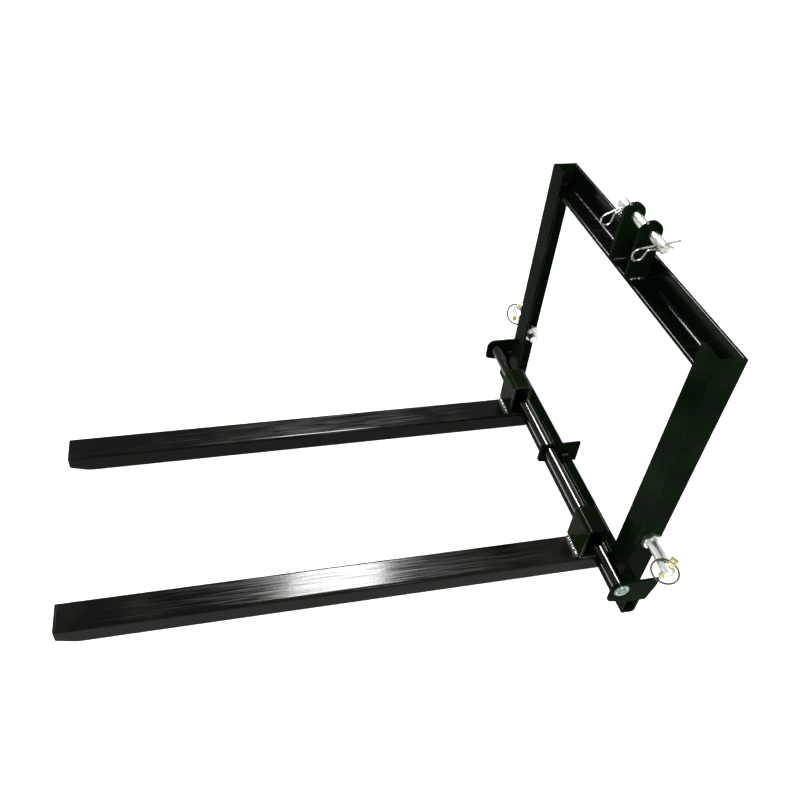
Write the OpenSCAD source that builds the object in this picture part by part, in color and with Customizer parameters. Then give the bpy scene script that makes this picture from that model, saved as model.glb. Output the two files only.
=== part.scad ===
// Pallet fork for a small tractor's three-point linkage: a welded frame of angle iron and
// rectangular tube, a round slide bar and two fork arms that hang on the bar.
// Millimetres, +Z up. The origin is the middle of the crossbar's bottom face, on the floor.
// The fork arms point along -Y, and the tractor is on the +Y side. "Near" is +X, "far" is -X.

/* [Frame] */
// Width over the outer faces of the posts
frame_w = 664; // [600:1:720]
// Height of the posts' tops above the floor
frame_h = 588; // [480:1:680]
// Leg of the posts' angle iron
post_leg = 50; // [45:1:60]
// Upright leg of the top beam's angle iron
beam_leg = 50; // [40:1:60]
// Thickness of the angle iron
angle_t = 6; // [5:0.5:7]
// Radius in the root of the angle iron
angle_root_r = 6; // [3:0.5:7]
// Radius on the toes of the angle iron
angle_toe_r = 3; // [1:0.5:4]

/* [Crossbar] */
// Length of the crossbar past each post
cross_end = 41; // [28:1:68]
// Depth of the crossbar, front to back
cross_d = 30; // [28:1:34]
// Height of the crossbar
cross_h = 72; // [66:1:78]
// Wall of the crossbar
cross_t = 4; // [3:0.5:5]
// Outer corner radius of the crossbar
cross_r = 8; // [6:0.5:10]

/* [Bar plates] */
// Thickness of the end plates and the middle plate
plate_t = 6; // [5:0.5:8]
// Reach of the plates in front of the crossbar's middle
plate_front = 61; // [58:1:70]
// Reach of the end plates behind the crossbar's middle
plate_rear = 31; // [28:1:34]
// Height of the end plates' top edge above the floor
plate_top = 109; // [107:1:116]
// Height of the end plates' bottom edge above the floor, under the crossbar
plate_foot = 49; // [44:1:56]
// Height of the plates' bottom edge at its front corner, from which it slopes to the crossbar
plate_front_foot = 60; // [56:1:64]
// Radius of the plates' bottom front corner
plate_foot_r = 6; // [2:1:10]
// Radius of the end plates' top front corner
plate_r = 18; // [10:1:20]
// Height of the cut-off at the end plates' rear corner
plate_cut_h = 44; // [30:1:48]
// Depth of the cut-off at the end plates' rear corner
plate_cut_d = 10; // [4:1:12]
// Height of the middle plate's top edge above the floor
mid_top = 105; // [104:1:112]
// Height of the middle plate's bottom edge above the floor, at the crossbar
mid_foot = 52; // [44:1:55]

/* [Slide bar] */
// Diameter of the slide bar
bar_d = 24; // [22:0.5:26]
// Height of the bar's middle above the floor
bar_z = 89.5; // [88:0.5:91]
// Length of the bar that stands proud of each end plate
bar_proud = 2; // [1:0.5:4]

/* [Top link] */
// Height of the top link pin above the beam's flat leg: 457 mm above the lower hitch pins
top_pin_rise = 88; // [75:1:120]
// Diameter of the top link pin
top_pin_d = 19; // [18:0.5:22]
// Distance between the middles of the top pin's cross holes
top_pin_hole_gap = 136; // [120:1:150]
// Length of the top pin past each cross hole
top_pin_end = 15; // [10:1:20]
// How far the top pin has slipped towards +X
top_pin_slip = 5; // [-8:1:8]
// Clear gap between the ears
ear_gap = 58; // [46:1:70]
// Thickness of an ear
ear_t = 8; // [6:1:10]
// Width of an ear, front to back
ear_w = 43; // [38:1:44]

/* [Lower hitch pins] */
// Height of the lower hitch pins above the floor
low_pin_z = 175; // [150:1:220]
// Distance of the lower hitch pins behind the crossbar's middle
low_pin_y = 12; // [10:0.5:14]
// Diameter of a lower hitch pin
low_pin_d = 22; // [20:0.5:23]
// Diameter of its threaded shank
low_shank_d = 20; // [18:0.5:21]
// Length of the shank, from the collar inwards
low_shank_len = 48; // [40:1:56]
// Length of the pin outside its collar
low_pin_len = 72; // [66:1:80]
// Distance of the linchpin hole from the collar's outer face
low_hole_at = 60; // [50:0.5:62]
// Width of the hexagon collar across its flats
collar_af = 32; // [28:1:34]
// Thickness of the collar
collar_t = 9.5; // [6:0.5:12]
// Width of the hexagon nut across its flats
nut_af = 32; // [28:1:34]
// Thickness of the nut
nut_t = 18; // [14:0.5:20]
// Diameter of the spring washer
washer_d = 30; // [28:1:30]
// Thickness of the spring washer
washer_t = 4; // [2:0.5:5]

/* [Linchpins] */
// Diameter of the linchpin's shank
linch_d = 11; // [9:0.5:11.5]
// Length of the shank below the hitch pin's middle
linch_tip = 25; // [22:1:34]
// Width of the linchpin's head
linch_head_w = 14; // [12:0.5:16]
// Depth of the linchpin's head
linch_head_d = 18; // [14:0.5:20]
// Height of the linchpin's head
linch_head_h = 16; // [14:0.5:20]
// Height of the ring's pivot above the hitch pin's middle
ring_pivot = 15; // [14:0.5:19]
// Radius of the ring, to the middle of its wire
ring_r = 25; // [24:0.5:30]
// Diameter of the ring's wire
ring_wire = 3.5; // [3:0.25:4]
// Lean of the linchpins, forwards at the tip, in degrees
linch_lean = 14; // [0:1:30]
// Turn of the linchpins about their own shanks, in degrees
linch_turn = 52; // [0:1:53]

/* [Spring clips] */
// Diameter of the clip's wire
clip_wire = 3.5; // [2.5:0.25:4]
// Length of the straight leg past the pin's middle
clip_leg = 35; // [28:1:40]
// Distance from the pin's middle to the middle of the clip's eye
clip_eye_at = 38; // [34:1:50]
// Radius of the clip's eye, to the middle of its wire
clip_eye_r = 11; // [10:0.5:14]
// Rise of the near clip's tips towards the tractor, in degrees
near_clip_rise = 9; // [0:1:30]
// Rise of the far clip's tips towards the tractor, in degrees
far_clip_rise = 24; // [0:1:60]

/* [Fork arms] */
// Width of a fork arm
arm_w = 64; // [56:1:66]
// Height of a fork arm
arm_h = 42; // [36:1:44]
// Wall of a fork arm
arm_t = 4; // [3:0.5:5]
// Outer corner radius of a fork arm
arm_r = 6; // [5:0.5:8]
// Distance of the arm's tip in front of the crossbar's middle
arm_reach = 1066; // [800:1:1200]
// Length of the bevel under the tip
bevel_run = 50; // [30:1:70]
// Height of the bevel at the tip
bevel_rise = 16; // [10:1:24]
// Thickness of the plate that closes the tip
tip_t = 4; // [3:0.5:6]
// Thickness of the plate that closes the heel and bears on the crossbar
heel_t = 6; // [5:0.5:8]
// Position of the near arm's middle along the bar
near_arm_x = 231; // [200:1:260]
// Position of the far arm's middle along the bar
far_arm_x = -204; // [-260:1:-180]

/* [Sleeves] */
// Width of a sleeve along the bar
sleeve_w = 66; // [60:1:70]
// Depth of a sleeve, front to back
sleeve_d = 44; // [40:1:48]
// Height of a sleeve's top above the floor
sleeve_top = 128; // [124:1:134]
// Wall of a sleeve
sleeve_t = 5; // [4:0.5:6]
// Outer corner radius of a sleeve
sleeve_r = 9; // [7:0.5:10]
// Gap between a sleeve and the crossbar
sleeve_gap = 8; // [6:0.5:10]

/* [Welds] */
// Leg of the fillet welds
weld_leg = 5; // [4:0.5:6]
// Leg of the fillet weld between a sleeve and its arm
sleeve_weld_leg = 7; // [5:0.5:8]

/* [Fits] */
// Clearance between a sliding or bearing face and its seat
seat_gap = 0.3; // [0.2:0.05:0.5]
// Radial clearance of a pin or bar in its drilled hole
pin_gap = 0.3; // [0.2:0.05:0.5]
// Radial clearance of the ring's ends in the linchpin's head
pivot_gap = 0.05; // [0.03:0.01:0.08]

/* [Hidden] */
$fn = 64;

// Directions along the bar
NEAR = 1;
FAR = -1;
// How far a cutting shape runs past what it cuts
over = 1;

// Where the frame's faces are
front_y = -cross_d / 2;
post_rear = front_y + post_leg;
post_x = frame_w / 2;
beam_z = frame_h - beam_leg;
beam_half = post_x - angle_t;
beam_d = post_leg - angle_t;
cross_len = frame_w + 2 * cross_end;
plate_x = cross_len / 2;

// The sleeves' rear wall lies just behind the bar, and the arms' heels just ahead of the crossbar
sleeve_rear = front_y - sleeve_gap;
bar_y = sleeve_rear - sleeve_t - seat_gap - bar_d / 2;
sleeve_front = sleeve_rear - sleeve_d;
heel_y = front_y - seat_gap;

// Top link: the ears end at the front face of the beam's upright leg
ear_r = ear_w / 2;
ear_y = post_rear - angle_t - ear_r;
ear_foot = beam_z + angle_t;
ear_x = ear_gap / 2 + ear_t / 2;
top_pin_z = ear_foot + top_pin_rise;

// Lower hitch pins
collar_out = post_x + collar_t;
linch_x = collar_out + low_hole_at;

// The ring's circle passes this far outside the head and is pivoted inside it
ring_side_gap = 0.8;
ring_end = linch_head_w / 2 + ring_wire / 2 + ring_side_gap;
ring_drop = sqrt(pow(ring_r, 2) - pow(ring_end, 2));
ring_open = asin(ring_end / ring_r);

// The clip's bent leg bows round the pin, and its necks lie a little clear of the straight leg
clip_bow_r = top_pin_d / 2 + clip_wire / 2 + pin_gap;
clip_neck_gap = 2.7;
clip_neck = clip_wire + clip_neck_gap;
// Sides of the clips' wire, and the most degrees of a bend between two of its sections
wire_sides = 10;
wire_step = 14;

// Plane shapes

// A rectangle with round corners, about its middle
module round_rect(w, h, r) {
    square([w - 2 * r, h], center = true);
    square([w, h - 2 * r], center = true);
    for (x = [-1, 1], y = [-1, 1]) translate([x * (w / 2 - r), y * (h / 2 - r)]) circle(r);
}

// The section of a rectangular tube, about its middle
module tube_section(w, h, t, r) {
    difference() {
        round_rect(w, h, r);
        round_rect(w - 2 * t, h - 2 * t, r - t);
    }
}

// What is cut away to round a corner: the tip is the origin, and the body lies at -x and -y
module corner_off(r) {
    translate([-r, -r]) difference() {
        square(r + over);
        circle(r);
    }
}

// The section of an angle iron: heel at the origin, legs a along +x and b along +y
module angle_section(a, b) {
    difference() {
        union() {
            square([a, angle_t]);
            square([angle_t, b]);
            translate([angle_t, angle_t]) difference() {
                square(angle_root_r);
                translate([angle_root_r, angle_root_r]) circle(angle_root_r);
            }
        }
        translate([a, angle_t]) corner_off(angle_toe_r);
        translate([angle_t, b]) corner_off(angle_toe_r);
    }
}

// A plane shape drawn in (y, z), given a thickness along +X from x
module upright(x, t) {
    translate([x, 0, 0]) rotate([90, 0, 90]) linear_extrude(t) children();
}

// A fillet weld along +X: its legs run along +Y and +Z from the corner
module fillet_x(len, leg) {
    rotate([90, 0, 90]) linear_extrude(len) fillet_section(leg);
}

// The section of a fillet weld, with a slightly hollow face
module fillet_section(leg) {
    hollow_at = leg * 1.25;
    hollow_r = leg * 1.3;
    difference() {
        polygon([[0, 0], [leg, 0], [0, leg]]);
        translate([hollow_at, hollow_at]) circle(hollow_r);
    }
}

// Welded frame

// Rectangular tube across the foot of the frame
module crossbar() {
    color("#0d110e") upright(-plate_x, cross_len) translate([0, cross_h / 2])
        tube_section(cross_d, cross_h, cross_t, cross_r);
}

// What is cut away to round a plate's bottom front corner, where a sloping edge meets an upright one
module front_foot_off(foot) {
    slope = atan((plate_front_foot - foot) / (plate_front + front_y));
    rise = plate_foot_r * (1 / cos(slope) - tan(slope));
    reach = plate_foot_r + over;
    translate([plate_foot_r - plate_front, plate_front_foot + rise]) difference() {
        polygon([[0, 0], [-reach, 0], [-reach, -reach], [-reach * sin(slope), -reach * cos(slope)]]);
        circle(plate_foot_r);
    }
}

// Plate on an end of the crossbar, with the hole that the slide bar is held in
module end_plate(side) {
    x = side == NEAR ? plate_x : -plate_x - plate_t;
    color("#0f140f") upright(x, plate_t) difference() {
        polygon([[-plate_front, plate_front_foot], [front_y, plate_foot],
            [plate_rear - plate_cut_d, plate_foot], [plate_rear, plate_foot + plate_cut_h],
            [plate_rear, plate_top], [-plate_front, plate_top]]);
        front_foot_off(plate_foot);
        translate([-plate_front, plate_top]) mirror([1, 0]) corner_off(plate_r);
        translate([bar_y, bar_z]) circle(bar_d / 2 + pin_gap);
    }
}

// Plate at the middle of the crossbar, notched over it and drilled for the slide bar
module middle_plate() {
    color("#0f140f") upright(-plate_t / 2, plate_t) difference() {
        polygon([[-plate_front, plate_front_foot], [front_y, mid_foot], [plate_rear, mid_foot],
            [plate_rear, mid_top], [-plate_front, mid_top]]);
        front_foot_off(mid_foot);
        translate([-cross_d / 2, mid_foot - over]) square([cross_d, cross_h - mid_foot + over]);
        translate([bar_y, bar_z]) circle(bar_d / 2 + pin_gap);
    }
}

// Round bar that the fork arms hang on and slide along
module slide_bar() {
    half = plate_x + plate_t + bar_proud;
    color("#b9bdb8") translate([-half, bar_y, bar_z]) rotate([0, 90, 0]) {
        bevel = 1;
        translate([0, 0, bevel]) cylinder(h = 2 * half - 2 * bevel, d = bar_d);
        cylinder(h = bevel, d1 = bar_d - 2 * bevel, d2 = bar_d);
        translate([0, 0, 2 * half - bevel]) cylinder(h = bevel, d1 = bar_d, d2 = bar_d - 2 * bevel);
    }
}

// Upright angle iron. It stands on the crossbar, and its rear strip laps down behind the crossbar
module post(side) {
    lap_foot = angle_t;
    color("#101610") difference() {
        union() {
            translate([side * post_x, front_y, cross_h]) mirror([side == NEAR ? 1 : 0, 0, 0])
                linear_extrude(frame_h - cross_h) angle_section(post_leg, post_leg);
            intersection() {
                translate([side * post_x, front_y, lap_foot]) mirror([side == NEAR ? 1 : 0, 0, 0])
                    linear_extrude(cross_h - lap_foot) angle_section(post_leg, post_leg);
                translate([side * (post_x - post_leg / 2), post_rear, cross_h / 2])
                    cube([post_leg + over, 2 * (post_leg - cross_d), cross_h], center = true);
            }
        }
        translate([side * post_x, low_pin_y, low_pin_z]) rotate([0, 90, 0])
            cylinder(h = 4 * angle_t, r = low_shank_d / 2 + pin_gap, center = true);
    }
}

// Angle iron across the top, between the posts: upright leg at the back, flat leg to the front. The
// flat leg's corners are rounded off to clear the roots of the posts.
module top_beam() {
    color("#0d120e") difference() {
        translate([-beam_half, post_rear, beam_z]) rotate([90, 0, 90])
            mirror([1, 0]) linear_extrude(2 * beam_half) angle_section(beam_d, beam_leg);
        for (side = [NEAR, FAR]) mirror([side == NEAR ? 0 : 1, 0, 0])
            translate([beam_half, post_rear - beam_d, beam_z - over]) mirror([0, 1, 0])
                linear_extrude(angle_t + 2 * over) corner_off(angle_root_r + seat_gap);
    }
}

// Ear for the top link: flat bar with a round head, on the beam's flat leg
module ear(side) {
    color("#0e120d") upright(side * ear_x - ear_t / 2, ear_t) difference() {
        union() {
            translate([ear_y - ear_r, ear_foot]) square([ear_w, top_pin_z - ear_foot]);
            translate([ear_y, top_pin_z]) circle(ear_r);
        }
        translate([ear_y, top_pin_z]) circle(top_pin_d / 2 + pin_gap);
        translate([post_rear - angle_t, ear_foot]) rotate(-90) corner_off(angle_root_r + seat_gap);
    }
}

// Top link

// A direction across the top pin: towards the tractor, raised by the clip's own angle
module clip_place(side, rise) {
    translate([top_pin_slip + side * top_pin_hole_gap / 2, ear_y, top_pin_z]) rotate([rise, 0, 0])
        children();
}

// Loose round pin through both ears, with a cross hole near each end
module top_pin() {
    half = top_pin_hole_gap / 2 + top_pin_end;
    bevel = 1.5;
    color("#c2c6c0") difference() {
        translate([top_pin_slip - half, ear_y, top_pin_z]) rotate([0, 90, 0]) {
            translate([0, 0, bevel]) cylinder(h = 2 * half - 2 * bevel, d = top_pin_d);
            cylinder(h = bevel, d1 = top_pin_d - 2 * bevel, d2 = top_pin_d);
            translate([0, 0, 2 * half - bevel])
                cylinder(h = bevel, d1 = top_pin_d, d2 = top_pin_d - 2 * bevel);
        }
        clip_place(NEAR, near_clip_rise) clip_hole();
        clip_place(FAR, far_clip_rise) clip_hole();
    }
}

// The cross hole for a clip's straight leg, along Y
module clip_hole() {
    rotate([90, 0, 0]) cylinder(h = 2 * top_pin_d, r = clip_wire / 2 + pin_gap, center = true);
}

// A bent wire is a list of moves in the XY plane: [length] straight on, or [radius, angle] round a
// bend, with a positive angle to the left. A place along it is [x, y, heading].

// The place that a move leads to
function after(at, move) = len(move) == 1
    ? [at[0] + move[0] * cos(at[2]), at[1] + move[0] * sin(at[2]), at[2]]
    : let (r = sign(move[1]) * move[0], heading = at[2] + move[1])
        [at[0] + r * (sin(heading) - sin(at[2])), at[1] - r * (cos(heading) - cos(at[2])), heading];

// The first share of a move
function first_part(move, share) = len(move) == 1 ? [move[0] * share] : [move[0], move[1] * share];

// The places along the wire: one at each end of a straight, and one every few degrees of a bend
function places(moves, at, i = 0) = i == len(moves) ? [at]
    : let (n = len(moves[i]) == 1 ? 1 : ceil(abs(moves[i][1]) / wire_step))
        concat([for (k = [0 : n - 1]) after(at, first_part(moves[i], k / n))],
            places(moves, after(at, moves[i]), i + 1));

// The wire itself: a round section swept through those places
module bent_wire(moves, at) {
    way = places(moves, at);
    points = [for (p = way, j = [0 : wire_sides - 1]) let (a = 360 * j / wire_sides, r = clip_wire / 2)
        [p[0] - r * cos(a) * sin(p[2]), p[1] + r * cos(a) * cos(p[2]), r * sin(a)]];
    last = (len(way) - 1) * wire_sides;
    sides = [for (i = [0 : len(way) - 2], j = [0 : wire_sides - 1]) let (k = (j + 1) % wire_sides)
        [i * wire_sides + j, (i + 1) * wire_sides + j, (i + 1) * wire_sides + k, i * wire_sides + k]];
    ends = [[for (j = [0 : wire_sides - 1]) j], [for (j = [wire_sides - 1 : -1 : 0]) last + j]];
    polyhedron(points, concat(sides, ends));
}

// Spring clip. The straight leg goes through the pin, and the bent one bows round it.
module clip() {
    // The eye runs round from the straight leg, and the bent leg leaves it on a slope
    slope = 60;
    bend_r = 4;
    sweep = 180 + slope;
    // Where the slope starts below the straight leg, and how long it is
    start_x = -clip_eye_at + clip_eye_r * sin(slope);
    start_y = clip_eye_r * (1 + cos(slope));
    slope_len = (start_y - clip_neck - bend_r * (1 - cos(slope))) / sin(slope);
    neck_x = start_x + slope_len * cos(slope) + bend_r * sin(slope);
    // The bow: out of the neck by a small bend, round the pin and back into the far neck
    bow = acos((clip_neck + bend_r) / (clip_bow_r + bend_r));
    bow_half = (clip_bow_r + bend_r) * sin(bow);
    // Past the bow, the bent leg runs level for a little and then flares away
    neck_len = 2;
    flare = 30;
    flare_len = 9;
    color("#d0d3cf") rotate([90, 0, 90])
        bent_wire([[clip_leg + clip_eye_at], [clip_eye_r, sweep], [slope_len], [bend_r, -slope],
            [-bow_half - neck_x], [bend_r, -bow], [clip_bow_r, 2 * bow], [bend_r, -bow], [neck_len],
            [bend_r, -flare], [flare_len]], [clip_leg, 0, 180]);
}

// Lower hitch pins

// A hexagon about the X axis, its corners chamfered on the outer face or on the inner one
module hexagon_x(x, t, af, outer) {
    across = af / cos(30);
    bevel = (across - af) / 2;
    translate([outer ? x : x + t, 0, 0]) rotate([0, outer ? 90 : -90, 0]) intersection() {
        cylinder(h = t, d = across, $fn = 6);
        union() {
            cylinder(h = t - bevel, d = across + over);
            translate([0, 0, t - bevel]) cylinder(h = bevel, d1 = across + over, d2 = af);
        }
    }
}

// Lower hitch pin: forged hexagon collar, round pin outside it and threaded shank inside it
module lower_pin(side) {
    bevel = 2.5;
    // Chamfer at the thread's start
    lead = 1;
    color("#b4bcae") mirror([side == NEAR ? 0 : 1, 0, 0]) difference() {
        translate([0, low_pin_y, low_pin_z]) {
            hexagon_x(post_x, collar_t, collar_af, true);
            translate([post_x - low_shank_len, 0, 0]) rotate([0, 90, 0]) {
                translate([0, 0, lead]) cylinder(h = low_shank_len - lead, d = low_shank_d);
                cylinder(h = lead, d1 = low_shank_d - 2 * lead, d2 = low_shank_d);
            }
            translate([collar_out, 0, 0]) rotate([0, 90, 0]) {
                cylinder(h = low_pin_len - bevel, d = low_pin_d);
                translate([0, 0, low_pin_len - bevel])
                    cylinder(h = bevel, d1 = low_pin_d, d2 = low_pin_d - 2 * bevel);
            }
        }
        linch_place(NEAR)
            cylinder(h = 2 * low_pin_d, r = linch_d / 2 + pin_gap, center = true);
    }
}

// The washers between the nuts and the posts
module lower_pin_washers() {
    for (side = [NEAR, FAR]) color("#a9aea6") mirror([side == NEAR ? 0 : 1, 0, 0])
        translate([post_x - angle_t - washer_t, low_pin_y, low_pin_z]) rotate([0, 90, 0]) difference() {
            cylinder(h = washer_t, d = washer_d);
            translate([0, 0, -over]) cylinder(h = washer_t + 2 * over, r = low_shank_d / 2 + pin_gap);
        }
}

// The nuts inside the posts
module lower_pin_nuts() {
    for (side = [NEAR, FAR]) color("#a9aea6") mirror([side == NEAR ? 0 : 1, 0, 0]) difference() {
        translate([0, low_pin_y, low_pin_z])
            hexagon_x(post_x - angle_t - washer_t - nut_t, nut_t, nut_af, false);
        translate([post_x - angle_t - washer_t - nut_t - over, low_pin_y, low_pin_z]) rotate([0, 90, 0])
            cylinder(h = nut_t + 2 * over, r = low_shank_d / 2 + pivot_gap);
    }
}

// Linchpins

// The frame of a linchpin: Z runs up its shank from the hitch pin's middle, and X is its ring's normal
module linch_place(side) {
    translate([side * linch_x, low_pin_y, low_pin_z]) rotate([-linch_lean, 0, 0])
        rotate([0, 0, -linch_turn]) children();
}

// Linchpin: round shank with a tapered tip, and a forged head drilled for the ring's ends
module linchpin(side) {
    seat = low_pin_d / 2 + seat_gap;
    head_r = linch_head_d / 2;
    taper = 4;
    tip_d = 6;
    color("#a39a4e") linch_place(side) difference() {
        union() {
            translate([0, 0, taper - linch_tip]) cylinder(h = linch_tip - taper + seat + over, d = linch_d);
            translate([0, 0, -linch_tip]) cylinder(h = taper, d1 = tip_d, d2 = linch_d);
            intersection() {
                translate([-head_r, -linch_head_w / 2, seat])
                    cube([linch_head_d, linch_head_w, linch_head_h]);
                translate([0, 0, seat]) rotate([90, 0, 0]) union() {
                    translate([0, linch_head_h - head_r, 0])
                        cylinder(h = linch_head_w, r = head_r, center = true);
                    translate([-head_r, 0, -linch_head_w / 2])
                        cube([linch_head_d, linch_head_h - head_r, linch_head_w]);
                }
                translate([0, 0, seat]) cylinder(h = linch_head_h, r = head_r);
            }
        }
        translate([0, 0, ring_pivot]) rotate([90, 0, 0])
            cylinder(h = linch_head_w + 2 * over, r = ring_wire / 2 + pivot_gap, center = true);
    }
}

// Wire ring: a circle round the shank, its two ends turned in to the bore of the head
module ring(side) {
    // The ends start this far inside the head and lap a little into the circle
    stub = 1.5;
    lap = 0.7;
    len = ring_end + lap - stub;
    color("#8c8a6a") linch_place(side) translate([0, 0, ring_pivot]) {
        rotate([0, 90, 0]) translate([ring_drop, 0, 0]) rotate([0, 0, 180 + ring_open])
            rotate_extrude(angle = 360 - 2 * ring_open) translate([ring_r, 0]) circle(d = ring_wire);
        for (end = [-1, 1]) translate([0, end * (stub + len / 2), 0]) rotate([90, 0, 0])
            cylinder(h = len, d = ring_wire, center = true);
    }
}

// Fork arms

// The outline of an arm's section, drawn in (x, z)
module arm_outline() {
    translate([0, arm_h / 2]) round_rect(arm_w, arm_h, arm_r);
}

// The part of the arm's length in front of y, above a bevel that is set in by a margin
module tip_profile(inset) {
    // The bevel's own plate is as thick across its slope as the end plate
    rate = bevel_rise / bevel_run;
    lift = inset / cos(atan(rate));
    polygon([[-arm_reach + inset, bevel_rise + lift - inset * rate],
        [-arm_reach + bevel_run + lift / rate, 0],
        [heel_y + over, 0], [heel_y + over, arm_h + over], [-arm_reach + inset, arm_h + over]]);
}

// Rectangular tube with its tip cut square and bevelled below
module arm(x) {
    color("#141914") intersection() {
        translate([x, heel_y - heel_t, 0]) rotate([90, 0, 0])
            linear_extrude(arm_reach + heel_y - heel_t) difference() {
                arm_outline();
                translate([0, arm_h / 2]) round_rect(arm_w - 2 * arm_t, arm_h - 2 * arm_t, arm_r - arm_t);
            }
        upright(x - arm_w / 2 - over, arm_w + 2 * over) tip_profile(tip_t);
    }
}

// Folded plate that closes the tip and the bevel, flush with the tube
module tip_cap(x) {
    color("#141914") intersection() {
        translate([x, 2 * bevel_run - arm_reach, 0]) rotate([90, 0, 0])
            linear_extrude(2 * bevel_run) arm_outline();
        upright(x - arm_w / 2 - over, arm_w + 2 * over) difference() {
            tip_profile(0);
            tip_profile(tip_t);
        }
    }
}

// Plate that closes the arm's heel and bears on the crossbar
module heel_plate(x) {
    color("#121712") translate([x, heel_y, 0]) rotate([90, 0, 0]) linear_extrude(heel_t) arm_outline();
}

// Short rectangular tube across the arm's heel, open at both ends, that the slide bar passes through
module sleeve(x) {
    color("#10150f") upright(x - sleeve_w / 2, sleeve_w)
        translate([(sleeve_front + sleeve_rear) / 2, (arm_h + sleeve_top) / 2])
            tube_section(sleeve_d, sleeve_top - arm_h, sleeve_t, sleeve_r);
}

// Welds

// Fillets between a sleeve and the flat of its arm, in front and behind
module sleeve_welds(x) {
    len = arm_w - 2 * arm_r;
    color("#8f948d") {
        translate([x - len / 2, sleeve_front + sleeve_r, arm_h]) mirror([0, 1, 0]) rotate([90, 0, 90])
            linear_extrude(len) tube_root(sleeve_r, sleeve_weld_leg);
        translate([x - len / 2, sleeve_rear - sleeve_r, arm_h]) rotate([90, 0, 90])
            linear_extrude(len) tube_root(sleeve_r, weld_leg);
    }
}

// The section of a weld at the foot of a round tube corner: the corner's circle starts at the origin
module tube_root(r, leg) {
    // How deep the weld runs in under the corner, and how far up its curve
    root_at = r * 0.4;
    crown = r * 0.9;
    difference() {
        polygon([[root_at, 0], [r + leg, 0], [r, crown], [root_at, crown]]);
        translate([0, r]) circle(r);
    }
}

// Rings of weld round the slide bar's ends
module bar_welds() {
    bead_w = 3;
    bead_h = 1.6;
    shoulder = 0.8;
    for (side = [NEAR, FAR]) color("#9aa097") mirror([side == NEAR ? 0 : 1, 0, 0])
        translate([plate_x + plate_t, bar_y, bar_z]) rotate([0, 90, 0]) rotate_extrude()
            translate([bar_d / 2, 0]) polygon([[0, 0], [bead_w, 0],
                [bead_w - shoulder, bead_h - shoulder / 2], [shoulder, bead_h], [0, bead_h]]);
}

// Fillets along the crossbar's top where the end plates and the middle plate stand on it
module plate_welds() {
    len = cross_d - 2 * cross_r;
    color("#8f948d") {
        for (side = [NEAR, FAR]) mirror([side == NEAR ? 0 : 1, 0, 0])
            translate([plate_x, -len / 2, cross_h]) rotate([0, 0, 90]) fillet_x(len, weld_leg);
        for (side = [NEAR, FAR]) mirror([side == NEAR ? 1 : 0, 0, 0])
            translate([-plate_t / 2, -len / 2, cross_h]) rotate([0, 0, 90]) fillet_x(len, weld_leg);
    }
}

// Fillets at the posts' feet, inside the angle, on the crossbar's top
module post_welds() {
    len = post_leg - angle_t - angle_root_r - angle_toe_r;
    for (side = [NEAR, FAR]) color("#8f948d") mirror([side == NEAR ? 0 : 1, 0, 0])
        translate([post_x - angle_t - angle_root_r - len, front_y + angle_t, cross_h])
            fillet_x(len, weld_leg);
}

// Fillets at the top beam's ends, between its flat leg and the posts
module beam_welds() {
    len = beam_d - angle_t - 2 * angle_root_r;
    for (side = [NEAR, FAR]) color("#8f948d") mirror([side == NEAR ? 0 : 1, 0, 0])
        translate([beam_half, front_y + angle_t + angle_root_r, beam_z + angle_t]) rotate([0, 0, 90])
            fillet_x(len, weld_leg);
}

// Fillets along both faces of each ear's foot
module ear_welds() {
    // How far short of the ear's front edge the welds stop
    front_stop = 8;
    len = ear_w - angle_root_r - front_stop;
    for (side = [NEAR, FAR], face = [0, 1]) color("#8f948d")
        translate([side * ear_x, post_rear - angle_t - angle_root_r - len, ear_foot])
            mirror([face, 0, 0]) translate([-ear_t / 2, 0, 0]) rotate([0, 0, 90]) fillet_x(len, weld_leg);
}

crossbar();
end_plate(NEAR);  // near_end_plate
end_plate(FAR);  // far_end_plate
middle_plate();
slide_bar();
post(NEAR);  // near_post
post(FAR);  // far_post
top_beam();
ear(NEAR);  // near_ear
ear(FAR);  // far_ear
top_pin();
clip_place(NEAR, near_clip_rise) clip();  // near_clip
clip_place(FAR, far_clip_rise) clip();  // far_clip
lower_pin(NEAR);  // near_lower_pin
lower_pin(FAR);  // far_lower_pin
lower_pin_washers();
lower_pin_nuts();
linchpin(NEAR);  // near_linchpin
linchpin(FAR);  // far_linchpin
ring(NEAR);  // near_ring
ring(FAR);  // far_ring
arm(near_arm_x);  // near_arm
arm(far_arm_x);  // far_arm
tip_cap(near_arm_x);  // near_tip_cap
tip_cap(far_arm_x);  // far_tip_cap
heel_plate(near_arm_x);  // near_heel_plate
heel_plate(far_arm_x);  // far_heel_plate
sleeve(near_arm_x);  // near_sleeve
sleeve(far_arm_x);  // far_sleeve
sleeve_welds(near_arm_x);  // near_sleeve_welds
sleeve_welds(far_arm_x);  // far_sleeve_welds
bar_welds();
plate_welds();
post_welds();
beam_welds();
ear_welds();
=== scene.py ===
from math import cos, pi, radians, sin

import bpy
from mathutils import Matrix, Vector


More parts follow.
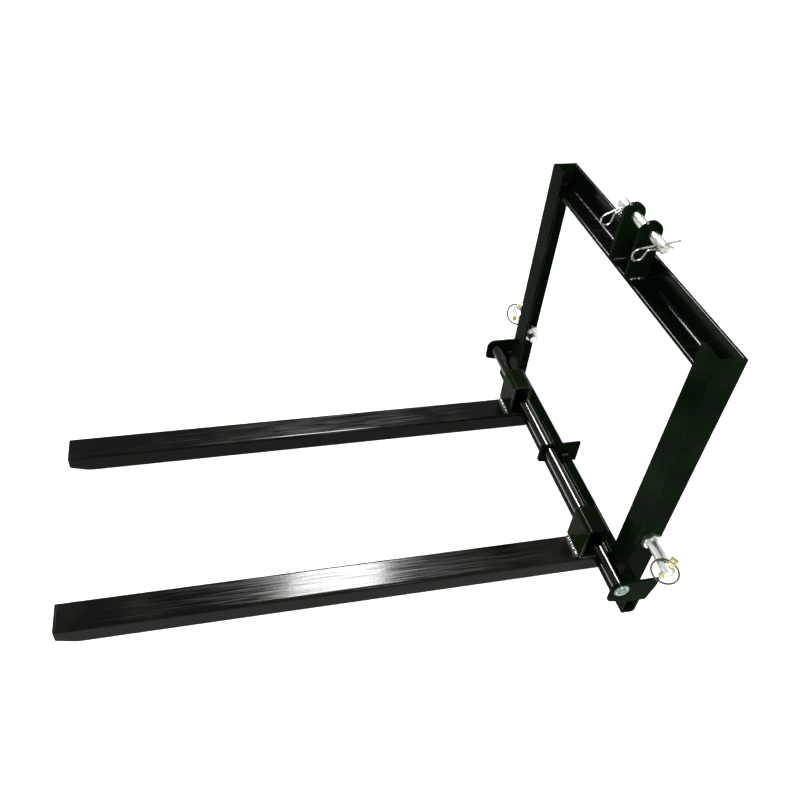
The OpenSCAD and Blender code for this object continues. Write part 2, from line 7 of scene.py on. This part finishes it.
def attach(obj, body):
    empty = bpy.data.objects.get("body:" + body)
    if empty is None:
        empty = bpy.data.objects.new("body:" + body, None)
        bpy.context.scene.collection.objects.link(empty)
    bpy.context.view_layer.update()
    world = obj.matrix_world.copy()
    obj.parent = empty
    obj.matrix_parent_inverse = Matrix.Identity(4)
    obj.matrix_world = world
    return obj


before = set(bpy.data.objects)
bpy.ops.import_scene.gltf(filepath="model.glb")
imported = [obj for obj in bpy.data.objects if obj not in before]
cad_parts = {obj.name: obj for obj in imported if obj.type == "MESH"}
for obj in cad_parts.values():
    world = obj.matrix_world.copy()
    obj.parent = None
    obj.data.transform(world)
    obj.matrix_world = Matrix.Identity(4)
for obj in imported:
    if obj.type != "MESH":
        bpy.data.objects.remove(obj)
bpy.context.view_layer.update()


# Welded frame: a rectangular crossbar, flat plates and hot rolled angle iron, all mild steel.
# The pieces are sawn, welded together and then sprayed as one with gloss black enamel, so they
# share a hard, slightly rippled skin with soft edges and a faint green cast.
def colour(text):
    """The linear colour of an sRGB hex value."""
    parts = [int(text[i:i + 2], 16) / 255 for i in (1, 3, 5)]
    return [c / 12.92 if c <= 0.04045 else ((c + 0.055) / 1.055) ** 2.4 for c in parts] + [1]


def add_node(tree, kind, settings=None, links=None):
    """Adds a node. Settings are its own or its inputs' values, and links feed its inputs."""
    made = tree.nodes.new("ShaderNode" + kind)
    for name, value in (settings or {}).items():
        if isinstance(name, int) or name in made.inputs:
            made.inputs[name].default_value = value
        else:
            setattr(made, name, value)
    for name, output in (links or {}).items():
        tree.links.new(output, made.inputs[name])
    return made


def new_material(name):
    """An empty node material, its tree and its output node."""
    material = bpy.data.materials.new(name)
    material.use_nodes = True
    material.node_tree.nodes.clear()
    return material, material.node_tree, add_node(material.node_tree, "OutputMaterial")


def finish_with(material, *names):
    """Gives CAD nodes a material."""
    for name in names:
        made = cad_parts[name]
        made.data.materials.clear()
        made.data.materials.append(material)


def sharp_edges(tree, reach_mm):
    """How near a point is to a sharp edge, from 0 to 1, and the normal rounded over that edge."""
    rounded = add_node(tree, "Bevel", {"samples": 4, "Radius": reach_mm / 1000})
    flat = add_node(tree, "NewGeometry")
    bend = add_node(tree, "VectorMath", {"operation": "DOT_PRODUCT"},
                    {0: rounded.outputs[0], 1: flat.outputs["Normal"]})
    # The two normals part by 10 degrees where the edge begins, and by 22 degrees where it is sharp
    near = add_node(tree, "MapRange", {"From Min": 0.985, "From Max": 0.93},
                    {"Value": bend.outputs["Value"]})
    return near.outputs[0], rounded.outputs[0]


def black_enamel(name, paint, film, film_share, ripple_mm, gleam, shine,
                 edge_glint="#000000", side_dust_and_shade=1):
    """Gloss black enamel with a patchy film of dust on it, painted shade where that film is cut
    back on the sides, and painted highlights along its sharp edges.
    """
    patch_mm = 110
    speck_mm = 3
    edge_mm = 1.2
    line_mm = 2.5
    line_stretch = 50
    material, tree, out = new_material(name)
    place = add_node(tree, "TexCoord").outputs["Object"]

    # The dust lies in soft patches with specks in them. On faces that don't look up it is cut to
    # the side share, and where that share is low the sides are painted darker as shade
    patches = add_node(tree, "TexNoise", {"Scale": 1000 / patch_mm, "Detail": 4, "Roughness": 0.5},
                       {"Vector": place})
    patch = add_node(tree, "MapRange", {"From Min": 0.42, "From Max": 0.75},
                     {"Value": patches.outputs["Fac"]})
    specks = add_node(tree, "TexNoise", {"Scale": 1000 / speck_mm, "Detail": 2, "Roughness": 0.6},
                      {"Vector": place})
    speck = add_node(tree, "MapRange", {"From Min": 0.35, "From Max": 0.65,
                                        "To Min": film_share * 0.6, "To Max": film_share},
                     {"Value": specks.outputs["Fac"]})
    facing = add_node(tree, "SeparateXYZ", {}, {0: add_node(tree, "TexCoord").outputs["Normal"]})
    top_dust_and_side_shade = add_node(tree, "MapRange", {"From Min": 0.2, "From Max": 0.8, "To Min": side_dust_and_shade},
                     {"Value": facing.outputs["Z"]})
    amount = add_node(tree, "Math", {"operation": "MULTIPLY"},
                      {0: patch.outputs[0], 1: speck.outputs[0]})
    amount = add_node(tree, "Math", {"operation": "MULTIPLY"},
                      {0: amount.outputs[0], 1: top_dust_and_side_shade.outputs[0]})
    skin = add_node(tree, "Mix", {"data_type": "RGBA", 6: colour(paint), 7: colour(film)},
                    {0: amount.outputs[0]})

    # Sharp edges are rounded in the normal, and along them, in patches, the colour is lifted to
    # the edge colour: painted highlights of edges catching light
    edge, rounded = sharp_edges(tree, edge_mm)
    glint_patches = add_node(tree, "MapRange", {"From Min": 0.46, "From Max": 0.6},
                    {"Value": patches.outputs["Fac"]})
    picked_out = add_node(tree, "Math", {"operation": "MULTIPLY"}, {0: edge, 1: glint_patches.outputs[0]})
    skin = add_node(tree, "Mix", {"data_type": "RGBA", 7: colour(edge_glint)},
                    {0: picked_out.outputs[0], 6: skin.outputs[2]})

    # The ripple of sprayed paint, over the rolling lines of the steel, drawn out along Y
    ripple = add_node(tree, "TexNoise", {"Scale": 1000 / ripple_mm, "Detail": 2},
                      {"Vector": place})
    bump = add_node(tree, "Bump", {"Strength": 0.04, "Distance": 0.001},
                    {"Height": ripple.outputs["Fac"], "Normal": rounded})
    across = 1000 / line_mm
    drawn = add_node(tree, "Mapping", {"Scale": (across, across / line_stretch, across)},
                     {"Vector": place})
    lines = add_node(tree, "TexNoise", {"Scale": 1, "Detail": 3}, {"Vector": drawn.outputs[0]})
    bump = add_node(tree, "Bump", {"Strength": 0.08, "Distance": 0.001},
                    {"Height": lines.outputs["Fac"], "Normal": bump.outputs[0]})

    # Dust and the deeper lines take some of the gloss away
    gloss = add_node(tree, "MapRange", {"To Min": 0.1, "To Max": 0.22},
                     {"Value": amount.outputs[0]})
    streak = add_node(tree, "MapRange", {"From Min": 0.45, "From Max": 0.68, "To Max": 0.2},
                      {"Value": lines.outputs["Fac"]})
    gloss = add_node(tree, "Math", {"operation": "ADD"},
                     {0: gloss.outputs[0], 1: streak.outputs[0]})
    shader = add_node(tree, "BsdfPrincipled",
                      {"Specular IOR Level": shine, "Specular Tint": colour(gleam)},
                      {"Base Color": skin.outputs[2], "Roughness": gloss.outputs[0],
                       "Normal": bump.outputs[0]})
    tree.links.new(shader.outputs[0], out.inputs[0])
    return material


# The frame's sharp edges are painted a little lighter in patches: painted highlights
frame_enamel = black_enamel(
    "gloss black enamel on the frame", paint="#040c04", film="#182a13", film_share=0.4,
    ripple_mm=4, gleam="#b4ffa8", shine=0.005, edge_glint="#2c342b")
finish_with(frame_enamel, "crossbar", "near_end_plate", "far_end_plate", "middle_plate",
            "near_post", "far_post", "near_ear", "far_ear")

# The beam across the top has a smoother coat, which mirrors the room in brighter lines
# Its sharp edges are painted a little lighter in patches: painted highlights
beam_enamel = black_enamel(
    "glossier black enamel on the top beam", paint="#020502", film="#12190f", film_share=0.4,
    ripple_mm=4, gleam="#ffffff", shine=0.035, edge_glint="#1b211a")
finish_with(beam_enamel, "top_beam")


# Weld beads: the frame and the forks are joined by short runs of MIG weld, each a row of
# overlapping lumps about 4.5 mm apart. The paint covers most beads thinly, and has come off the
# crowns of those at the ears and in front of the sleeves.
def weld_bead(name, start, end, out_a, out_b, leg, body, finish):
    """A rippled bead in the corner between two faces that look towards out_a and out_b."""
    start, end = Vector(start), Vector(end)
    side_a, side_b = Vector(out_a), Vector(out_b)
    along = (end - start).normalized()
    length = (end - start).length
    radius = 0.55 * leg
    centre_lift = 0.3 * leg
    lump_pitch = 0.0045
    lump_shape = (0.74, 1.0, 0.92)
    first_size = 0.45
    last_size = 0.4
    taper_steps = 4
    steps = len(lump_shape) * max(2, round(length / lump_pitch))
    bpy.ops.object.select_all(action="DESELECT")
    bpy.ops.mesh.primitive_circle_add(vertices=16, radius=radius, fill_type="NGON",
                                      rotation=(0, pi / 2, 0))
    bead = bpy.context.object
    bpy.ops.object.transform_apply(location=True, rotation=True, scale=True)
    bpy.ops.object.mode_set(mode="EDIT")
    bpy.ops.mesh.select_all(action="SELECT")
    bpy.ops.transform.resize(value=(1, first_size, first_size), center_override=(0, 0, 0))
    size = first_size
    for i in range(steps):
        at = (i + 1) * length / steps
        # Both ends taper, and each lump strays from the common size by up to 12 percent
        ends = min(1, first_size + i / taper_steps, last_size + (steps - 1 - i) / taper_steps)
        lump, part_of_lump = divmod(i, len(lump_shape))
        uneven = 1 + 0.12 * sin(lump * 2.3 + length * 900)
        wanted = ends * lump_shape[part_of_lump] * uneven
        bpy.ops.mesh.extrude_region_move(
            TRANSFORM_OT_translate={"value": (length / steps, 0, 0)})
        bpy.ops.transform.resize(value=(1, wanted / size, wanted / size),
                                 center_override=(at, 0, 0))
        size = wanted
    bpy.ops.mesh.select_all(action="SELECT")
    bpy.ops.mesh.normals_make_consistent(inside=False)
    bpy.ops.object.mode_set(mode="OBJECT")
    turn = Matrix((along, side_a, side_b)).transposed().to_4x4()
    bead.matrix_world = Matrix.Translation(start + centre_lift * (side_a + side_b)) @ turn
    bpy.ops.object.transform_apply(location=True, rotation=True, scale=True)
    # The turn can mirror the bead, so its faces are pointed outwards again
    bpy.ops.object.mode_set(mode="EDIT")
    bpy.ops.mesh.select_all(action="SELECT")
    bpy.ops.mesh.normals_make_consistent(inside=False)
    bpy.ops.object.mode_set(mode="OBJECT")
    bpy.ops.object.shade_smooth()
    bead.name = name
    bead.data.materials.append(finish)
    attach(bead, body)


def plated_steel(name, plate, shade, rim_reflection, roughness, grain_mm, stretch):
    """Steel in bright plate with duller grain, and its sharp rims painted in the rim colour as a
    painted reflection. The grain is drawn out along X.
    """
    # The grain of real plate is finer, and is drawn as coarse as it needs to be to show
    rim_mm = 2
    cloud_mm = 12
    material, tree, out = new_material(name)
    place = add_node(tree, "TexCoord").outputs["Object"]
    laid = add_node(tree, "Mapping", {"Scale": (1 / stretch, 1, 1)}, {"Vector": place})
    grain = add_node(tree, "TexNoise", {"Scale": 1000 / grain_mm, "Detail": 4, "Roughness": 0.6},
                     {"Vector": laid.outputs[0]})
    share = add_node(tree, "MapRange", {"From Min": 0.35, "From Max": 0.65},
                     {"Value": grain.outputs["Fac"]})
    skin = add_node(tree, "Mix", {"data_type": "RGBA", 6: colour(shade), 7: colour(plate)},
                    {0: share.outputs[0]})
    # Sharp rims take the rim colour, a painted reflection: dark on the bright metals, lighter on
    # the dark bar
    skin = add_node(tree, "Mix", {"data_type": "RGBA", 7: colour(rim_reflection)},
                    {0: sharp_edges(tree, rim_mm)[0], 6: skin.outputs[2]})
    cloud = add_node(tree, "TexNoise", {"Scale": 1000 / cloud_mm, "Detail": 3}, {"Vector": place})
    gloss = add_node(tree, "MapRange", {"From Min": 0.3, "From Max": 0.7,
                                        "To Min": roughness - 0.08, "To Max": roughness + 0.08},
                     {"Value": cloud.outputs["Fac"]})
    bump = add_node(tree, "Bump", {"Strength": 0.12, "Distance": 0.0004},
                    {"Height": grain.outputs["Fac"]})
    shader = add_node(tree, "BsdfPrincipled", {"Metallic": 1.0},
                      {"Base Color": skin.outputs[2], "Roughness": gloss.outputs[0],
                       "Normal": bump.outputs[0]})
    tree.links.new(shader.outputs[0], out.inputs[0])
    return material


# Bare weld is mottled as plate is, with paint left in its hollows for the duller shade
bare_weld = plated_steel("half painted weld", plate="#a4a8a0", shade="#060705", rim_reflection="#060705",
                         roughness=0.3, grain_mm=3, stretch=1)
weld_enamel = black_enamel(
    "thin black enamel on weld beads", paint="#181b16", film="#3c3f38", film_share=0.6,
    ripple_mm=1.5, gleam="#ffffff", shine=0.3)


frame_leg = 0.0055


def frame_bead(name, side, start, end, outwards, finish):
    """A bead on the frame, laid on a face that looks up. Side -1 mirrors it to the far side."""
    start, end, outwards = [(side * x, y, z) for x, y, z in (start, end, outwards)]
    weld_bead(name, start, end, outwards, (0, 0, 1), frame_leg, "frame", finish)


crossbar_top = 0.072
crossbar_end = 0.373
middle_plate_face = 0.003
plate_run = 0.007
post_inner = 0.326
post_web_rear = -0.009
post_run_from = 0.314
post_run_to = 0.280
flat_leg_top = 0.544
beam_run_from = -0.006
ear_run_from = -0.007
flat_leg_run_to = 0.022
ear_inner = 0.029
ear_outer = 0.037
for side, word in ((1, "near"), (-1, "far")):
    for count, (x, outwards) in enumerate(((ear_outer, 1), (ear_inner, -1))):
        frame_bead(f"{word}_ear_bead_{count}", side, (x, ear_run_from, flat_leg_top),
                   (x, flat_leg_run_to, flat_leg_top), (outwards, 0, 0), bare_weld)
    frame_bead(f"{word}_beam_bead", side, (post_inner, beam_run_from, flat_leg_top),
               (post_inner, flat_leg_run_to, flat_leg_top), (-1, 0, 0), weld_enamel)
    frame_bead(f"{word}_post_bead", side, (post_run_from, post_web_rear, crossbar_top),
               (post_run_to, post_web_rear, crossbar_top), (0, 1, 0), weld_enamel)
    frame_bead(f"{word}_plate_bead", side, (crossbar_end, -plate_run, crossbar_top),
               (crossbar_end, plate_run, crossbar_top), (-1, 0, 0), weld_enamel)
    frame_bead(f"{word}_middle_bead", side, (middle_plate_face, -plate_run, crossbar_top),
               (middle_plate_face, plate_run, crossbar_top), (1, 0, 0), weld_enamel)
finish_with(weld_enamel, "plate_welds", "post_welds", "beam_welds", "ear_welds",
            "near_sleeve_welds", "far_sleeve_welds")


# Slide bar: cold drawn round bar, held in the end plates by a ring of weld at each end.
# Drawing leaves fine lines along it, and its metal is coloured near black. Its ends are sawn and
# bare.
drawn_bar = plated_steel("near black metal on drawn bar", plate="#272826", shade="#161715", rim_reflection="#33443a",
                         roughness=0.12, grain_mm=1.2, stretch=40)
sawn_from = 0.3805
bar_centre = (0, -0.0403, 0.0895)
bar_radius = 0.012
torn_mm = 5
tree = drawn_bar.node_tree
shader = next(node for node in tree.nodes if node.type == "BSDF_PRINCIPLED")
plated_skin = shader.inputs["Base Color"].links[0].from_socket
place = add_node(tree, "TexCoord").outputs["Object"]
spot = add_node(tree, "SeparateXYZ", {}, {0: place})
out_by = add_node(tree, "Math", {"operation": "ABSOLUTE"}, {0: spot.outputs["X"]})
picked_out = add_node(tree, "Math", {"operation": "GREATER_THAN", 1: sawn_from}, {0: out_by.outputs[0]})
# The sawn ends have a bright centre mark and rim, and a dark torn band about 7 mm from the middle
across = add_node(tree, "CombineXYZ", {}, {"Y": spot.outputs["Y"], "Z": spot.outputs["Z"]})
arm = add_node(tree, "VectorMath", {"operation": "DISTANCE", 1: bar_centre},
               {0: across.outputs[0]})
reach = add_node(tree, "Math", {"operation": "DIVIDE", 1: bar_radius}, {0: arm.outputs["Value"]})
band = add_node(tree, "ValToRGB", {}, {"Fac": reach.outputs[0]})
ramp = band.color_ramp
ramp.elements[0].color = colour("#d3e0d6")
ramp.elements[1].position = 0.14
ramp.elements[1].color = colour("#31443a")
for share, shade in ((0.25, "#7f9887"), (0.45, "#6c8775"), (0.54, "#14231a"),
                     (0.66, "#14231a"), (0.76, "#7f9887"), (0.92, "#d3e0d6")):
    ramp.elements.new(share).color = colour(shade)
torn = add_node(tree, "TexNoise", {"Scale": 1000 / torn_mm, "Detail": 3}, {"Vector": place})
kept = add_node(tree, "MapRange", {"From Min": 0.42, "From Max": 0.58},
                {"Value": torn.outputs["Fac"]})
sawn = add_node(tree, "Mix", {"data_type": "RGBA", 6: colour("#4d6757")},
                {0: kept.outputs[0], 7: band.outputs["Color"]})
skin = add_node(tree, "Mix", {"data_type": "RGBA"},
                {0: picked_out.outputs[0], 6: plated_skin, 7: sawn.outputs[2]})
tree.links.new(skin.outputs[2], shader.inputs["Base Color"])
finish_with(drawn_bar, "slide_bar")
bar_bead = plated_steel("bare bead of weld on the bar's ends", plate="#c2d0c5", shade="#5d7266",
                        rim_reflection="#1b2b21", roughness=0.3, grain_mm=3, stretch=1)
finish_with(bar_bead, "bar_welds")


# Forks: each is a rectangular tube with plates welded over its tip and heel, and a short piece of
# larger tube welded across the heel, which slides on the bar. Gloss black enamel, with more dust
# on top than the frame has. On their sides the dust is cut to a tenth, which is painted shade, and
# their sharp edges are painted lighter as highlights, most of all on the sleeves' edges.
# The arms' sides keep a tenth of the dust, which paints them darker as painted shade. Their sharp
# edges are painted a little lighter in patches as painted highlights.
fork_enamel = black_enamel(
    "gloss black enamel on the forks", paint="#060705", film="#2b2a22", film_share=0.4,
    ripple_mm=4, gleam="#ffffff", shine=0.05, edge_glint="#2a2a24", side_dust_and_shade=0.1)
finish_with(fork_enamel, "near_arm", "far_arm", "near_tip_cap", "far_tip_cap",
            "near_heel_plate", "far_heel_plate")
# The sleeves' sharp edges are painted pale grey in patches: painted highlights of edges catching
# light
sleeve_enamel = black_enamel(
    "black enamel with painted highlights on the sleeves' edges", paint="#060c05", film="#26391f",
    film_share=0.35, ripple_mm=4, gleam="#f0ffe4", shine=0.009, edge_glint="#868c80")
finish_with(sleeve_enamel, "near_sleeve", "far_sleeve")
near_fork_x = 0.231
far_fork_x = -0.204
arm_top = 0.042
sleeve_front = -0.0655
half_run = 0.027
sleeve_leg = 0.0075
for word, x in (("near", near_fork_x), ("far", far_fork_x)):
    weld_bead(f"{word}_sleeve_bead", (x - half_run, sleeve_front, arm_top),
              (x + half_run, sleeve_front, arm_top), (0, -1, 0), (0, 0, 1), sleeve_leg,
              f"{word}_fork", bare_weld)


# Lower hitch pins, with their nuts and washers: forged and turned steel, bright zinc plate with a
# faint green passivation.
pin_zinc = plated_steel("bright zinc on forged pins", plate="#f1f2f0", shade="#a9b0a8",
                        rim_reflection="#24382b", roughness=0.3, grain_mm=1.6, stretch=14)
finish_with(pin_zinc, "near_lower_pin", "far_lower_pin", "lower_pin_washers", "lower_pin_nuts")


# Linchpins: forged steel pins with a hardened wire ring in each, zinc plate passivated yellow.
# The ring's wire has gone darker than the pin.
linchpin_zinc = plated_steel("yellow zinc on linchpins", plate="#e6e0bc", shade="#77742f",
                             rim_reflection="#2f3010", roughness=0.3, grain_mm=3, stretch=1)
finish_with(linchpin_zinc, "near_linchpin", "far_linchpin")
ring_zinc = plated_steel("yellow zinc on ring wire", plate="#68664e", shade="#2f2e20",
                         rim_reflection="#2f2e20", roughness=0.28, grain_mm=3, stretch=1)
finish_with(ring_zinc, "near_ring", "far_ring")


# Top link pin: turned steel bar with a cross hole near each end, in bright zinc plate.
# The turning leaves fine lines, and the plate is duller in them.
top_pin_zinc = plated_steel("bright zinc on turned pin", plate="#d6dad2", shade="#566054",
                            rim_reflection="#16221a", roughness=0.24, grain_mm=1.6, stretch=20)
finish_with(top_pin_zinc, "top_pin")


# Spring clips: round spring wire bent on a former, in bright zinc plate.
# One leg of each goes through the pin's cross hole, and the other grips the pin from outside.
clip_zinc = plated_steel("bright zinc on spring wire", plate="#d4d8d1", shade="#6a7067",
                         rim_reflection="#6a7067", roughness=0.24, grain_mm=3, stretch=1)
finish_with(clip_zinc, "near_clip", "far_clip")


# Studio: a pale floor that looks white and still keeps a shadow, in a white and evenly lit room
# with three lamps.
def seen_directly(tree):
    """1 for what the camera, a mirror or glass sees, and 0 for rays that only carry light."""
    rays = add_node(tree, "LightPath")
    seen = add_node(tree, "Math", {"operation": "MAXIMUM"},
                    {0: rays.outputs["Is Camera Ray"], 1: rays.outputs["Is Glossy Ray"]})
    seen = add_node(tree, "Math", {"operation": "MAXIMUM"},
                    {0: seen.outputs[0], 1: rays.outputs["Is Transmission Ray"]})
    return seen.outputs[0]


# The floor lies a hair below the part's foot, and its own light only lifts it to white
floor_level = -0.0004
lift_to_white = 0.72
bpy.ops.object.select_all(action="DESELECT")
bpy.ops.mesh.primitive_plane_add(size=40, location=(0, 0, floor_level))
floor = bpy.context.object
floor.name = "studio_floor"
floor_paper, tree, out = new_material("white paper floor")
lit = add_node(tree, "BsdfDiffuse", {"Color": colour("#e8e8e6")})
lift = add_node(tree, "Math", {"operation": "MULTIPLY", 1: lift_to_white},
                {0: seen_directly(tree)})
glow = add_node(tree, "Emission", {"Color": (1, 1, 1, 1)}, {"Strength": lift.outputs[0]})
both = add_node(tree, "AddShader", {}, {0: lit.outputs[0], 1: glow.outputs[0]})
tree.links.new(both.outputs[0], out.inputs[0])
floor.data.materials.append(floor_paper)

world = bpy.data.worlds.new("studio room")
bpy.context.scene.world = world
world.use_nodes = True
tree = world.node_tree
tree.nodes.clear()
room = add_node(tree, "Background", {"Color": (1, 1, 1, 1), "Strength": 0.45})
white = add_node(tree, "Background", {"Color": (1, 1, 1, 1), "Strength": 1.0})
pick = add_node(tree, "MixShader", {},
                {0: seen_directly(tree), 1: room.outputs[0], 2: white.outputs[0]})
add_node(tree, "OutputWorld", {}, {0: pick.outputs[0]})


def studio_lamp(name, place, aim, width, height, power):
    """A rectangular lamp at a place, turned to face a point."""
    lamp = bpy.data.lights.new(name, "AREA")
    lamp.shape = "RECTANGLE"
    lamp.size, lamp.size_y, lamp.energy = width, height, power
    stand = bpy.data.objects.new(name, lamp)
    bpy.context.scene.collection.objects.link(stand)
    stand.location = place
    stand.rotation_euler = (Vector(aim) - Vector(place)).to_track_quat("-Z", "Y").to_euler()
    return stand


forks_middle = (0.2, -0.5, 0)
frame_middle = (0, -0.3, 0.2)
# The soft box makes only the gleam along the arms, and the strip the lines on bar and pins
softbox = studio_lamp("softbox_over_arms", (-1.17, -0.25, 2.0), forks_middle,
                      width=0.45, height=0.95, power=350)
softbox.visible_diffuse = False
studio_lamp("strip_beside_camera", (1.75, -0.1, 1.5), forks_middle,
            width=0.06, height=1.2, power=22)
# The key lights paint and floor, and nothing mirrors it
key = studio_lamp("key", (1.6, -2.6, 2.6), frame_middle, width=1.4, height=1.4, power=130)
key.visible_glossy = False


# Camera, at the photograph's angle: above the near side of the forks and rolled by 5 degrees.
# The lens is shifted, because the object stands off the middle of the photograph.
turn, rise, roll = radians(74.4), radians(44.2), radians(5.0)
stands_at = (1.1111, -0.7386, 1.2685)
back = Vector((sin(turn) * cos(rise), -cos(turn) * cos(rise), sin(rise)))
level = Vector((cos(turn), sin(turn), 0))
upright = back.cross(level)
right = cos(roll) * level + sin(roll) * upright
up = cos(roll) * upright - sin(roll) * level
lens = bpy.data.cameras.new("camera")
lens.sensor_width = 36
lens.lens = 35.27
lens.shift_x = 0.0274
lens.shift_y = 0.062
camera = bpy.data.objects.new("camera", lens)
bpy.context.scene.collection.objects.link(camera)
facing = Matrix((right, up, back)).transposed().to_4x4()
camera.matrix_world = Matrix.Translation(stands_at) @ facing
bpy.context.scene.camera = camera
bpy.context.scene.view_settings.view_transform = "Standard"
